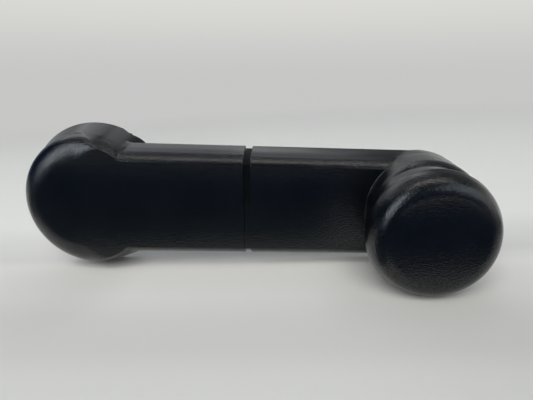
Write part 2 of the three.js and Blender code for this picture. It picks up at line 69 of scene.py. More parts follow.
COVER_END = ARM["seam"] - ARM["groove"] / 2
SKIN_START = ARM["seam"] + ARM["groove"] / 2
BOSS = dict(radius=13.0, top=8.9, opening=6.5)
TONGUE = dict(base=6.9, top=8.9, rib=2.0, spread=8.0, spigot=4.0)
RAIL_TOP = 6.6
SLOT_HALF = 13.3
PEDESTAL = dict(radius=16.9, ahead=1.5, front=19.7, front_x=5.4, blend=1.6, draft=0.3, top=24.4, round_h=5.6,
                round_w=4.4, waist=9.0, foot=0.2, flare=0.45, flare_from=48, flare_to=66)
PIN_SEAT = dict(base=9.4, radius=9.2, post=6.5)
RIB = dict(width=1.6, spokes=6, pitch=11.0)
INSERT = dict(radius=8.8, base=0.5, depth=5.6, top=7.3, flutes=20, flute=0.5, end_share=0.965, end=0.35)
SPLINE = dict(root=4.9, tip=4.45, teeth=18, lead_wide=6.4, lead_narrow=4.4)
SCREW = dict(radius=SHANK, tip=1.8, head_base=9.8, head_top=11.8, head=5.3, pitch=1.0, depth=0.45,
             rim=1.0, crown=1.1, crown_drop=0.1, recess=3.0, recess_half=0.55, recess_depth=1.2)
KNOB = dict(rear=24.9, lip=31.1, rear_r=16.1, lip_r=16.3, wall=2.2, boss=6.2, boss_top=32.8, seat=25.9,
            seat_r=8.9, floor=27.9, bore=4.6)
CAP = dict(lip=31.4, lip_r=16.6, rim_r=17.05, rim_z=31.9, side=11.3, side_from=8, side_to=32, shoulder=5.2,
           slope=5, top=38.89, roof=36.74, skirt=28.8, spigot_wall=1.5, ribs=6, rib=1.4, rib_from=6.8,
           rim_inset=0.03, rim_drop=0.3)
CROWN_SHARES = (0.08, 0.18, 0.35, 0.55, 0.8)
BUSH = dict(outer=4.3, flange=5.8, flange_z=33.0, top=33.8)
FLAT_WASHER = dict(inner=BORE, outer=6.2, base=7.5, thickness=0.8)
SPRING_WASHER = dict(inner=BORE, outer=5.5, base=8.5, thickness=0.8, rise=0.3, split=0.5)
WAVE_WASHER = dict(inner=BORE, outer=8.6, base=24.6, thickness=0.4, wave=0.35, waves=3)
BACK_WASHER = dict(inner=BORE, outer=6.0, thickness=0.8)
BACK_WASHER["base"] = PIN_SEAT["base"] - STACK - BACK_WASHER["thickness"]
RING = dict(inner=2.5, outer=5.1, thickness=0.7, opening=0.7)
RING["base"] = BACK_WASHER["base"] - STACK - RING["thickness"]
PIN = dict(radius=SHANK, head=5.0, head_base=34.0, head_top=35.6, groove=2.3, tail=RING["base"] - 1.2)


def smoothstep(low, high, value):
    t = min(1.0, max(0.0, (value - low) / (high - low)))
    return t * t * (3 - 2 * t)


def polar(radius, angle, z=0.0):
    return radius * math.cos(angle), radius * math.sin(angle), z


def turns(from_angle, to_angle, steps):
    return [from_angle + (to_angle - from_angle) * i / steps for i in range(steps + 1)]


def chain(numbers):
    """Pairs of neighbours in a row of point numbers."""
    return list(zip(numbers, numbers[1:]))


# Solids: closed meshes in millimetres, joined and cut with booleans

def solid(name, points, faces, soft_edges=()):
    """A closed mesh object; soft_edges are pairs of point numbers whose edge gets a small round."""
    mesh = bpy.data.meshes.new(name)
    mesh.from_pydata([tuple(p) for p in points], [], [tuple(f) for f in faces])
    work = bmesh.new()
    work.from_mesh(mesh)
    bmesh.ops.recalc_face_normals(work, faces=work.faces)
    if soft_edges:
        weight = work.edges.layers.float.new("bevel_weight_edge")
        work.verts.ensure_lookup_table()
        for a, b in soft_edges:
            edge = work.edges.get((work.verts[a], work.verts[b]))
            if edge is not None:
                edge[weight] = 1.0
    work.to_mesh(mesh)
    work.free()
    made = bpy.data.objects.new(name, mesh)
    bpy.context.scene.collection.objects.link(made)
    return made


def settle(body):
    """Replaces the mesh by what its modifiers make of it."""
    bpy.context.view_layer.update()
    depsgraph = bpy.context.evaluated_depsgraph_get()
    made = bpy.data.meshes.new_from_object(body.evaluated_get(depsgraph))
    body.modifiers.clear()
    old, body.data = body.data, made
    bpy.data.meshes.remove(old)
    return body


def soften(body, width):
    """Rounds the edges that were marked soft."""
    bevel = body.modifiers.new("soft", "BEVEL")
    bevel.limit_method = "WEIGHT"
    bevel.width = width
    bevel.segments = 3
    bevel.use_clamp_overlap = False
    return settle(body)


def combine(body, operation, tools):
    for tool in tools:
        change = body.modifiers.new("change", "BOOLEAN")
        change.operation = operation
        change.solver = "MANIFOLD"
        change.object = tool
        settle(body)
        bpy.data.meshes.remove(tool.data)
    return body


def cut(body, *tools):
    return combine(body, "DIFFERENCE", tools)


def join(body, *tools):
    return combine(body, "UNION", tools)


def common(body, *tools):
    return combine(body, "INTERSECT", tools)


def move(body, x=0.0, turn=0.0):
    body.data.transform(Matrix.Translation((x, 0, 0)) @ Matrix.Rotation(turn, 4, "Z"))
    return body


def ring_faces(start, count, levels):
    """Quads between neighbouring rings of equally many points."""
    return [
        (start + j * count + i, start + j * count + (i + 1) % count,
         start + (j + 1) * count + (i + 1) % count, start + (j + 1) * count + i)
        for j in range(levels - 1) for i in range(count)
    ]


def loft(rings, soft_rings=(), soft_columns=(), soft_pairs=()):
    """A skin over rings of points, closed by a flat face at each end."""
    count = len(rings[0])
    faces = ring_faces(0, count, len(rings))
    last = (len(rings) - 1) * count
    faces += [tuple(range(count)), tuple(range(last, last + count))]
    marks = [(r * count + i, r * count + (i + 1) % count) for r in soft_rings for i in range(count)]
    marks += [(j * count + c, (j + 1) * count + c) for c in soft_columns for j in range(len(rings) - 1)]
    return solid("loft", [p for ring in rings for p in ring], faces, marks + list(soft_pairs))


def rounded(profile, radius, steps=3):
    """A profile of (r, z) points with its corners rounded; a third number is that corner's own radius."""
    widest_corner, largest_share = math.radians(176), 0.48
    made = []
    for i, point in enumerate(profile):
        here = Vector(point[:2])
        size = point[2] if len(point) > 2 else radius
        back = Vector(profile[i - 1][:2]) - here
        ahead = Vector(profile[(i + 1) % len(profile)][:2]) - here
        sharp = size <= 0 or here.x <= 0 or back.length < TINY or ahead.length < TINY
        if sharp or back.angle(ahead) > widest_corner:
            made.append(tuple(here))
            continue
        half = back.angle(ahead) / 2
        reach = min(size / math.tan(half), back.length * largest_share, ahead.length * largest_share)
        size = reach * math.tan(half)
        middle = here + (back.normalized() + ahead.normalized()).normalized() * (size / math.sin(half))
        first = here + back.normalized() * reach - middle
        second = here + ahead.normalized() * reach - middle
        sweep = first.angle_signed(second)
        for k in range(steps + 1):
            turned = first.copy()
            turned.rotate(Matrix.Rotation(-sweep * k / steps, 2))
            made.append(tuple(middle + turned))
    return made


def revolve(profile, segments=96, radius=0.2, steps=3):
    """A body of revolution about z from a closed profile of (r, z) points."""
    points, rows = [], []
    for r, z in rounded(profile, radius, steps):
        if r < TINY:
            rows.append([len(points)] * segments)
            points.append((0.0, 0.0, z))
            continue
        rows.append(list(range(len(points), len(points) + segments)))
        points += [polar(r, TAU * i / segments, z) for i in range(segments)]
    faces = []
    for a, b in zip(rows, rows[1:] + rows[:1]):
        for i in range(segments):
            k = (i + 1) % segments
            face = list(dict.fromkeys((a[i], a[k], b[k], b[i])))
            if len(face) > 2:
                faces.append(face)
    return solid("revolve", points, faces)


def column(outer, base, top, inner=0.0, segments=64, radius=0.0):
    return revolve([(inner, base), (outer, base), (outer, top), (inner, top)], segments, radius)


def prism(outline, base, top):
    return loft([[(x, y, z) for x, y in outline] for z in (base, top)])


def block(x0, x1, y0, y1, z0, z1):
    return prism([(x0, y0), (x1, y0), (x1, y1), (x0, y1)], z0, z1)


# Outer shapes of the arm and the hub

def lean(z):
    """How far the arm's side walls lean in at a height, the round of the face's edge included."""
    straight = ARM["draft"] * (z - ARM["back"]) / (FACE - ARM["back"])
    into = max(0.0, z - (FACE - ARM["edge_h"])) / ARM["edge_h"]
    return straight + ARM["edge_w"] * (1 - math.sqrt(max(0.0, 1 - into ** 2)))


def half_width(x, z):
    return ARM["root"] - (ARM["root"] - ARM["tip"]) * x / CRANK - lean(max(ARM["back"], z))


def arm_heights(base, top):
    start = FACE - ARM["edge_h"]
    inner = [ARM["back"], (ARM["back"] + start) / 2]
    inner += [start + ARM["edge_h"] * math.sin(a) for a in turns(0, QUARTER, 14)]
    return [base] + [z for z in inner if base + TINY < z < top - TINY] + [top]


def arm_block(x0, x1, inset=0.0, base=ARM["back"], top=FACE, soft=False, columns=16):
    """A stretch of the arm with its side walls drawn in; a soft one has its back and end edges rounded."""
    xs = [x0 + (x1 - x0) * i / columns for i in range(columns + 1)]

    def ring(z):
        upper = [(x, half_width(x, z) - inset, z) for x in xs]
        return [(x, -y, z) for x, y, z in upper] + upper[::-1]

    rings = [ring(z) for z in arm_heights(base, top)]
    if not soft:
        return loft(rings)
    count = len(rings[0])
    last = (len(rings) - 1) * count
    return soften(loft(rings, (0,), (0, count - 1), [(last, last + count - 1)]), SOFT["arm"])


def cone(z):
    return HUB["rim"] + (HUB["shoulder"] - HUB["rim"]) * z / HUB["shoulder_z"]


def hub_radius(angle, z):
    """Outer radius of the hub: the dome's round runs out into a crisp edge towards the neck."""
    fade = smoothstep(NECK["crisp"], NECK["full"], abs(math.degrees(angle)))
    share = NECK["least"] + (1 - NECK["least"]) * fade
    start = FACE - HUB["round_h"] * share
    above = max(0.0, z - HUB["shoulder_z"]) / (FACE - HUB["shoulder_z"])
    wall = cone(min(z, start)) - NECK["lean"] * (1 - fade) * above ** 2
    if z <= start:
        return wall
    into = min(1.0, (z - start) / (HUB["round_h"] * share))
    return wall - HUB["round_w"] * share * (1 - math.sqrt(1 - into * into))


def cover_ring(z):
    """Outline of cover and neck at a height, from the groove round the hub and back to it.

    Also gives the number of the first point on the hub, and that point's angle about the spindle.
    """
    along, corner, round_the_hub = 18, 9, 84
    first_guess, passes = 15.0, 4
    hollow = smoothstep(NECK["sharp"], NECK["fade"], FACE - z)
    radius = NECK["face_radius"] + (NECK["radius"] - NECK["face_radius"]) * hollow
    hub = hub_radius(0, z)
    centre_x = first_guess
    for _ in range(passes):
        width = half_width(centre_x, z)
        centre_x = math.sqrt((hub + radius) ** 2 - (width + radius) ** 2)
    width = half_width(centre_x, z)
    tangent = math.atan2(width + radius, centre_x)
    xs = [COVER_END + (centre_x - COVER_END) * i / along for i in range(along)]
    upper = [(x, half_width(x, z), z) for x in xs]
    for a in turns(-QUARTER, tangent - math.pi, corner)[:-1]:
        x, y, _ = polar(radius, a)
        upper.append((centre_x + x, width + radius + y, z))
    upper += [polar(hub_radius(a, z), a, z) for a in turns(tangent, math.pi, round_the_hub)]
    return upper + [(x, -y, z) for x, y, z in upper[-2::-1]], along + corner, tangent


def cover_heights():
    """Heights of the cover's rings, close together where one of its rounds bends."""
    mid_wall, least_step = 6.2, 0.012
    heights = [ARM["back"], mid_wall]
    for size, steps in ((HUB["round_h"], 16), (ARM["edge_h"], 12), (HUB["round_h"] * NECK["least"], 4)):
        heights += [FACE - size * (1 - math.sin(a)) for a in turns(0, QUARTER, steps)]
    heights = sorted(set(round(z, 4) for z in heights))
    kept = heights[:1] + [z for below, z in chain(heights) if z - below > least_step]
    return kept[:-1] + [FACE]


def torn(angle):
    """Height of plastic torn off the rear rim at an angle, where the moulding's gate was broken off."""
    degrees = math.degrees(angle)
    zone = smoothstep(*GATE["rises"], degrees) * (1 - smoothstep(*GATE["falls"], degrees))
    rough = noise.noise(Vector((degrees * 0.42, 3.7, 0.0)))
    rough += 0.6 * noise.noise(Vector((degrees * 1.3, 9.1, 0.0)))
    ripple = GATE["ripple"] * noise.noise(Vector((degrees * 0.6, 1.2, 5.0)))
    return zone * min(GATE["highest"], max(0.0, GATE["mean"] + GATE["swing"] * rough)) + max(0.0, ripple)


def cover_skin():
    """Outside of the cover as one closed mesh: arm, neck and dome above, and the hub's lower wall."""
    outlines = [cover_ring(z) for z in cover_heights()]
    _, shared, tangent = outlines[0]
    points = [p for ring, _, _ in outlines for p in ring]
    count = len(outlines[0][0])
    last = len(points) - count
    faces = ring_faces(0, count, len(outlines)) + [tuple(range(last, last + count))]
    # Lower wall of the hub: its rings share the upper outline's points at the arm's back edge
    kept = list(range(shared, count - shared))
    under_arm = turns(-tangent, tangent, 44)[1:-1]
    angles = [math.atan2(points[i][1], points[i][0]) for i in kept] + under_arm
    rows = [kept + list(range(len(points), len(points) + len(under_arm)))]
    points += [polar(cone(ARM["back"]), a, ARM["back"]) for a in under_arm]
    lower_heights = (3.6, 2.4, 1.2, 0.7, 0.3, 0.0)
    left = list(range(shared, -1, -1))
    right = list(range(count - 1, count - shared - 2, -1))
    faces.append(tuple(left + right + rows[0][len(kept):]))
    for z in lower_heights:
        rows.append(list(range(len(points), len(points) + len(angles))))
        for a in angles:
            lift = torn(a) * max(0.0, 1 - z / GATE["reach"])
            points.append(polar(cone(z) - GATE["inward"] * lift, a, z + lift))
    rims = [chain(row + row[:1]) for row in rows]
    faces += [(*upper, *lower[::-1]) for above, below in chain(rims) for upper, lower in zip(above, below)]
    faces.append(tuple(rows[-1]))
    marks = rims[-1] + chain(left) + chain([0] + right) + [(last, last + count - 1)]
    marks += [(j * count + c, (j + 1) * count + c) for c in (0, count - 1) for j in range(len(outlines) - 1)]
    return soften(solid("cover_skin", points, faces, marks), SOFT["cover"])


def dome_line(inset):
    """The dome's round as a plain quarter turn of (r, z) points."""
    middle = HUB["shoulder"] - HUB["round_w"]
    width, height = HUB["round_w"] - inset, HUB["round_h"] - inset
    return [(middle + width * math.cos(a), HUB["shoulder_z"] + height * math.sin(a))
            for a in turns(0, QUARTER, 12)]


def hub_dome_plain():
    return revolve([(0, 0), (HUB["rim"], 0, 0.2)] + dome_line(0) + [(0, FACE)], 160, 0)


def hub_hollow():
    slope = (HUB["rim"] - HUB["shoulder"]) / HUB["shoulder_z"]
    mouth = HUB["rim"] - WALL + slope * OVER
    return revolve([(0, -OVER), (mouth, -OVER)] + dome_line(WALL) + [(0, FACE - WALL)], 160, 0)


def pry_cuts():
    """Shallow notches across the groove on both side walls."""
    start, stop = ARM["seam"] - NOTCH["length"] / 2, ARM["seam"] + NOTCH["length"] / 2
    floor = arm_block(start - OVER, stop + OVER, ARM["groove_depth"], ARM["back"] - OVER, columns=2)
    slab = block(start, stop, -ARM["root"], ARM["root"], ARM["back"] - OVER / 2, FACE - NOTCH["rest"])
    return cut(slab, floor)


def slide_cover():
    slot = block(0, COVER_END + OVER, -SLOT_HALF, SLOT_HALF, -OVER, RAIL_TOP)
    chamber = arm_block(0, COVER_END + OVER, WALL, RAIL_TOP, FACE - WALL)
    mouth_start = COVER_END - TONGUE["spigot"] - GAP
    mouth = arm_block(mouth_start, COVER_END + OVER, WALL, ARM["back"] - OVER, FACE - WALL)
    return cut(cover_skin(), hub_hollow(), chamber, mouth, slot, pry_cuts())


# Pedestal under the knob, and the arm's inside

def pedestal_radius(angle):
    """Radius about the knob axis: the round end of the arm, flattened towards the arm."""
    p = PEDESTAL

    def circle(size, ahead):
        return ahead * math.cos(angle) + math.sqrt(size ** 2 - (ahead * math.sin(angle)) ** 2)

    back, front = circle(p["radius"], p["ahead"]), circle(p["front"], p["front_x"])
    near = max(p["blend"] - abs(front - back), 0.0)
    return min(front, back) - near ** 2 / (4 * p["blend"])


def pedestal_draft(z):
    """How far the pedestal's straight wall is drawn in at a height."""
    start = PEDESTAL["top"] - PEDESTAL["round_h"]
    return PEDESTAL["draft"] * min(1.0, max(0.0, (z - ARM["back"]) / (start - ARM["back"])))


def pedestal_line(flared):
    """Pairs of inset and height up the pedestal's wall; a flared one spreads at the arm's face."""
    p = PEDESTAL
    start = p["top"] - p["round_h"]
    line = [(pedestal_draft(z), z) for z in (ARM["back"], p["waist"], FACE - p["foot"])]
    at_face = pedestal_draft(FACE)
    if flared:
        line += [(at_face - p["flare"] * (1 - math.sin(a)), FACE + p["flare"] * (1 - math.cos(a)))
                 for a in turns(0, QUARTER, 4)]
    else:
        line.append((at_face, FACE))
    line.append((p["draft"], start))
    return line + [(p["draft"] + p["round_w"] * (1 - math.cos(a)), start + p["round_h"] * math.sin(a))
                   for a in turns(0, QUARTER, 14)[1:]]


def pedestal_block(inset=0.0, base=ARM["back"], top=PEDESTAL["top"], soft=False, columns=192):
    p = PEDESTAL
    line = [(d + inset, z - inset) for d, z in pedestal_line(soft)]
    line = [(d, z) for d, z in line if base + TINY < z < top - TINY]
    levels = [(line[0][0], base)] + line + [(p["draft"] + p["round_w"] + inset, top)]

    def ring(drawn_in, z):
        straight = pedestal_draft(z) + inset
        flare = straight - drawn_in if soft else 0.0
        made = []
        for i in range(columns):
            angle = TAU * i / columns
            here = drawn_in
            if flare > 0:
                off = abs(math.degrees(angle) - 180)
                here = straight - flare * (1 - smoothstep(p["flare_from"], p["flare_to"], off))
            x, y, _ = polar(pedestal_radius(angle) - here, angle)
            made.append((CRANK + x, y, z))
        return made

    made = loft([ring(d, z) for d, z in levels], (0,) if soft else ())
    return soften(made, SOFT["pedestal"]) if soft else made


def tongue_parts():
    half = half_width(COVER_END, TONGUE["top"]) - WALL - GAP
    end = SKIN_START + WALL
    plate = block(0, end, -half, half, TONGUE["base"], TONGUE["top"])
    rib_top = FACE - WALL - GAP

    def rib(y, base, top):
        return block(HUB["shoulder"], end, y - TONGUE["rib"] / 2, y + TONGUE["rib"] / 2, base, top)

    sides = (-TONGUE["spread"], TONGUE["spread"])
    front = [rib(y, TONGUE["top"] - GAP, rib_top) for y in sides]
    back = [rib(y, ARM["back"], TONGUE["base"] + GAP) for y in (0, *sides)]
    spigot = arm_block(COVER_END - TONGUE["spigot"], end, WALL + GAP, ARM["back"], rib_top)
    return [plate, *front, *back, spigot]


def hub_strip():
    strip = cut(hub_dome_plain(), hub_hollow())
    half = SLOT_HALF - GAP
    return common(strip, block(0, HUB["rim"] + OVER, -half, half, -OVER, TONGUE["base"] + GAP))


def back_pockets():
    start = SKIN_START + WALL
    stop = CRANK - pedestal_radius(math.pi) + WALL
    spaces = round((stop - start) / RIB["pitch"])
    pitch = (stop - start) / spaces
    half, roof = RIB["width"] / 2, FACE - WALL
    pockets = arm_block(start, stop, WALL, ARM["back"] - OVER, roof)
    pockets = cut(pockets, block(start - OVER, stop + OVER, -half, half, -OVER, roof + OVER))
    for i in range(1, spaces):
        x = start + pitch * i
        pockets = cut(pockets, block(x - half, x + half, -ARM["root"], ARM["root"], -OVER, roof + OVER))
    cavity = pedestal_block(WALL, ARM["back"] - OVER, PEDESTAL["top"] - WALL, columns=128)
    cavity = cut(cavity, move(column(PIN_SEAT["post"], -OVER, PEDESTAL["top"]), CRANK))
    for i in range(RIB["spokes"]):
        spoke = block(0, PEDESTAL["radius"], -half, half, -OVER, PEDESTAL["top"])
        cavity = cut(cavity, move(spoke, CRANK, TAU * (i + 0.5) / RIB["spokes"]))
    seat = move(column(PIN_SEAT["radius"], -OVER, PIN_SEAT["base"]), CRANK)
    return join(pockets, cavity, seat)


def arm_core():
    body = join(arm_block(SKIN_START, CRANK, soft=True), pedestal_block(soft=True))
    body = cut(body, back_pockets(), pry_cuts())
    depth = ARM["groove_depth"]
    floor_start = COVER_END + ARM["touch"]
    body = join(body, arm_block(floor_start, SKIN_START + WALL, depth, ARM["back"] + depth, FACE - depth))
    sleeve = column(BOSS["radius"], INSERT["base"], BOSS["top"], segments=128)
    body = join(body, *tongue_parts(), sleeve, hub_strip())
    seat = column(INSERT["radius"] + GAP, -OVER, INSERT["top"] + GAP, segments=128)
    lid = column(BOSS["opening"], INSERT["top"], BOSS["top"] + OVER)
    bore = move(column(BORE, -OVER, PEDESTAL["top"] + OVER), CRANK)
    return cut(body, seat, lid, bore)


# Metal and small pieces

def toothed(low, high, teeth):
    """Outline whose radius swings between two values once per tooth, with steep flanks."""
    steps, steepness = 10, 1.6
    made = []
    for i in range(teeth * steps):
        wave = math.sin(TAU * i / steps)
        swing = math.copysign(abs(wave) ** (1 / steepness), wave)
        radius = (low + high) / 2 + (high - low) / 2 * swing
        made.append(polar(radius, TAU * i / (teeth * steps))[:2])
    return made


def spline_insert():
    i = INSERT
    outline = toothed(i["radius"] - i["flute"], i["radius"], i["flutes"])
    inner = [(x * i["end_share"], y * i["end_share"]) for x, y in outline]
    levels = [(inner, i["base"]), (outline, i["base"] + i["end"])]
    levels += [(outline, i["top"] - i["end"]), (inner, i["top"])]
    body = loft([[(x, y, z) for x, y in line] for line, z in levels])
    below, inside = i["base"] - OVER, i["base"] + OVER
    wide, narrow = SPLINE["lead_wide"], SPLINE["lead_narrow"]
    socket = prism(toothed(SPLINE["tip"], SPLINE["root"], SPLINE["teeth"]), below, i["base"] + i["depth"])
    lead_in = revolve([(0, below), (wide, below), (narrow, inside), (0, inside)], 96, 0)
    return cut(body, socket, lead_in, column(BORE, i["base"], i["top"] + OVER))


def threaded(radius, depth, pitch, base, top):
    """A screw shank with a true helical thread that runs out under the head."""
    columns, per_turn = 64, 12
    flat, tip_taper = 1.25, 0.5
    rows = int((top - base) / pitch * per_turn) + 1
    rings = []
    for j in range(rows + 1):
        z = base + (top - base) * j / rows
        ease = smoothstep(base, base + 1.2, z) * (1 - smoothstep(top - 1.4, top - 0.6, z))
        taper = tip_taper * (1 - smoothstep(base - 0.01, base + 0.6, z))
        ring = []
        for i in range(columns):
            turn = (z / pitch - i / columns) % 1.0
            crest = 1 - abs(2 * turn - 1)
            r = radius - depth + depth * min(1.0, crest * flat) * ease - taper
            ring.append(polar(r, TAU * i / columns, z))
        rings.append(ring)
    return loft(rings)


def hub_screw():
    s = SCREW
    head = revolve([(0, s["head_base"]), (s["head"], s["head_base"], 0.25),
                    (s["head"], s["head_base"] + s["rim"], 0.5),
                    (s["head"] - s["crown"], s["head_top"] - s["crown_drop"], 0.8),
                    (0, s["head_top"])], 96, 0.3, 5)
    shank = threaded(s["radius"], s["depth"], s["pitch"], s["tip"], s["head_base"] + 0.4)
    base, top = s["head_top"] - s["recess_depth"], s["head_top"] + OVER
    long, short = s["recess"], s["recess_half"]
    recess = [loft([[(x * k, y * k, z) for x, y in ((-a, -b), (a, -b), (a, b), (-a, b))]
                    for k, z in ((0.72, base), (1.2, top))])
              for a, b in ((long, short), (short, long))]
    return cut(join(head, shank), *recess)


def band(inner, outer, base, thickness, lift=lambda a: 0.0, start=0.0, stop=TAU, round_=0.12):
    """A ring bent out of its plane, with rounded corners; an open ring has two cut ends."""
    stations = 180
    closed = abs(stop - start - TAU) < TINY
    section = rounded([(inner, 0), (outer, 0), (outer, thickness), (inner, thickness)], round_, 2)
    rings = []
    for a in turns(start, stop, stations)[:stations if closed else stations + 1]:
        rings.append([polar(r, a, base + lift(a) + z) for r, z in section])
    if not closed:
        return loft(rings)
    count = len(section)
    faces = ring_faces(0, count, len(rings))
    last = (len(rings) - 1) * count
    faces += [(last + i, last + (i + 1) % count, (i + 1) % count, i) for i in range(count)]
    return solid("band", [p for ring in rings for p in ring], faces)


def knob_body():
    k = KNOB
    flank = [(k["rear_r"], k["rear"], 0.6), (k["lip_r"], k["lip"], 0.18)]
    inner = k["lip_r"] - k["wall"]
    return revolve([(k["bore"], k["seat"]), (k["seat_r"], k["seat"], 0.2), (k["seat_r"], k["rear"], 0.3),
                    *flank, (inner, k["lip"]), (inner, k["floor"], 0.5), (k["boss"], k["floor"], 0.5),
                    (k["boss"], k["boss_top"]), (k["bore"], k["boss_top"])], 192, 0.2, 4)


def cap_line():
    """The cap's outside from its rim to near its axis: a slow side arc, a shoulder arc and a low crown."""
    c = CAP
    start, turn, end = (math.radians(a) for a in (c["side_from"], c["side_to"], 90 - c["slope"]))
    side_x, side_z = c["rim_r"] - c["side"] * math.cos(start), c["rim_z"] - c["side"] * math.sin(start)
    inward = c["side"] - c["shoulder"]
    round_x, round_z = side_x + inward * math.cos(turn), side_z + inward * math.sin(turn)

    def arc(x, z, radius, angles):
        return [(x + radius * math.cos(a), z + radius * math.sin(a), 0) for a in angles]

    line = arc(side_x, side_z, c["side"], turns(start, turn, 8))
    line += arc(round_x, round_z, c["shoulder"], turns(turn, end, 12)[1:])
    flat, face = line[-1][:2]
    return line + [(flat * (1 - t), face + (c["top"] - face) * (1 - (1 - t) ** 2), 0) for t in CROWN_SHARES]


def knob_cap():
    c = CAP
    spigot = KNOB["lip_r"] - KNOB["wall"] - GAP
    inner = spigot - c["spigot_wall"]
    below_rim = [(0, c["skirt"]), (spigot, c["skirt"], 0.4), (spigot, c["lip"], 0),
                 (c["lip_r"], c["lip"], 0.22), (c["rim_r"] - c["rim_inset"], c["rim_z"] - c["rim_drop"], 0)]
    shell = revolve(below_rim + cap_line() + [(0, c["top"])], 192, 0, 4)
    shell = cut(shell, column(inner, c["skirt"] - OVER, c["roof"], segments=128))
    half = c["rib"] / 2
    for i in range(c["ribs"]):
        rib = block(c["rib_from"], inner + GAP, -half, half, c["lip"] + GAP, c["roof"] + GAP)
        shell = join(shell, move(rib, 0, TAU * i / c["ribs"]))
    return shell


def knob_bush():
    b, base = BUSH, KNOB["seat"]
    return revolve([(BORE, base), (b["outer"], base), (b["outer"], b["flange_z"]),
                    (b["flange"], b["flange_z"]), (b["flange"], b["top"]), (BORE, b["top"])])


def knob_pin():
    p = PIN
    low, high = RING["base"] - STACK, RING["base"] + RING["thickness"] + STACK
    return revolve([(0, p["tail"]), (p["radius"], p["tail"], 0.5), (p["radius"], low, 0.05),
                    (p["groove"], low, 0.05), (p["groove"], high, 0.05), (p["radius"], high, 0.05),
                    (p["radius"], p["head_base"], 0.1), (p["head"], p["head_base"], 0.15),
                    (p["head"], p["head_top"], 0.6), (0, p["head_top"])], steps=4)


def washer(sizes):
    top = sizes["base"] + sizes["thickness"]
    return column(sizes["outer"], sizes["base"], top, sizes["inner"], 96, 0.14)


def spring_washer():
    w = SPRING_WASHER
    edge = w["split"] / w["outer"]
    return band(w["inner"], w["outer"], w["base"], w["thickness"],
                lambda a: w["rise"] * a / TAU, edge, TAU - edge)


def wave_washer():
    w = WAVE_WASHER
    return band(w["inner"], w["outer"], w["base"], w["thickness"],
                lambda a: w["wave"] * (1 + math.sin(w["waves"] * a)), round_=0.08)


def retaining_ring():
    r, half = RING, RING["opening"]
    return band(r["inner"], r["outer"], r["base"], r["thickness"], start=half, stop=TAU - half)


# Finishes

class Graph:
    """Short names for the node graph of one material."""

    def __init__(self, name):
        self.material = bpy.data.materials.new(name)
        self.material.use_nodes = True
        self.tree = self.material.node_tree
        self.tree.nodes.clear()
        self.out = self.node("ShaderNodeOutputMaterial")
        self.shader = self.node("ShaderNodeBsdfPrincipled")
        self.show(self.shader)
        self.place = self.node("ShaderNodeTexCoord").outputs["Object"]

    def node(self, kind, inputs=None, **settings):
        made = self.tree.nodes.new(kind)
        for key, value in settings.items():
            setattr(made, key, value)
        for key, value in (inputs or {}).items():
            self.feed(made.inputs[key], value)
        return made

    def feed(self, socket, value):
        if isinstance(value, bpy.types.NodeSocket):
            self.tree.links.new(value, socket)
        else:
            socket.default_value = value

    def show(self, shader):
        self.feed(self.out.inputs[0], shader.outputs[0])

    def finish(self, inputs):
        for key, value in inputs.items():
            self.feed(self.shader.inputs[key], value)
        return self.material

    def noise(self, scale, detail, roughness):
        inputs = {"Vector": self.place, "Scale": scale, "Detail": detail, "Roughness": roughness}
        return self.node("ShaderNodeTexNoise", inputs).outputs["Fac"]

    def voronoi(self, scale):
        return self.node("ShaderNodeTexVoronoi", {"Vector": self.place, "Scale": scale}).outputs["Distance"]

    def math(self, operation, *values):
        return self.node("ShaderNodeMath", dict(enumerate(values)), operation=operation).outputs[0]

    def product(self, value, *others):
        for other in others:
            value = self.math("MULTIPLY", value, other)
        return value

    def total(self, *terms):
        """Sum of values, each with its weight before it."""
        made = 0.0
        for weight, value in terms:
            made = self.math("MULTIPLY_ADD", value, weight, made)
        return made

    def ramp(self, value, low, high, to_low=0.0, to_high=1.0):
        inputs = {"Value": value, "From Min": low, "From Max": high, "To Min": to_low, "To Max": to_high}
        return self.node("ShaderNodeMapRange", inputs, interpolation_type="SMOOTHSTEP").outputs["Result"]

    def mix(self, share, a, b):
        """A colour between two, each a socket or three numbers."""
        a, b = (c if isinstance(c, bpy.types.NodeSocket) else (*c, 1) for c in (a, b))
        return self.node("ShaderNodeMix", {0: share, 6: a, 7: b}, data_type="RGBA").outputs[2]

    def blend(self, share, a, b):
        return self.node("ShaderNodeMix", {0: share, 2: a, 3: b}, data_type="FLOAT").outputs[0]

    def bump(self, height, strength, distance, under=None):
        made = self.node("ShaderNodeBump", {"Height": height, "Strength": strength, "Distance": distance})
        if under is not None:
            self.feed(made.inputs["Normal"], under)
        return made.outputs["Normal"]

    def axis(self, letter):
        return self.node("ShaderNodeSeparateXYZ", {0: self.place}).outputs[letter]


BLACK = (0.0022, 0.0027, 0.0034)
WORN_BLACK = tuple(c * 1.5 for c in BLACK)
SPECK = (0.09, 0.095, 0.10)

# Patterns in the moulded plastic, in cells per metre, and the depth of their relief in metres
GRAIN = dict(pebbles=2100.0, fine=2900.0, broad=420.0, relief=0.00009)
SMOOTH = dict(waves=260.0, relief=0.0001)
SPECKLE = dict(coarse=1700.0, fine=3100.0, least=0.36, most=0.66)
SPECKS = dict(cells=190.0, radius=0.06, patches=36.0)
CLOUDS = 55.0


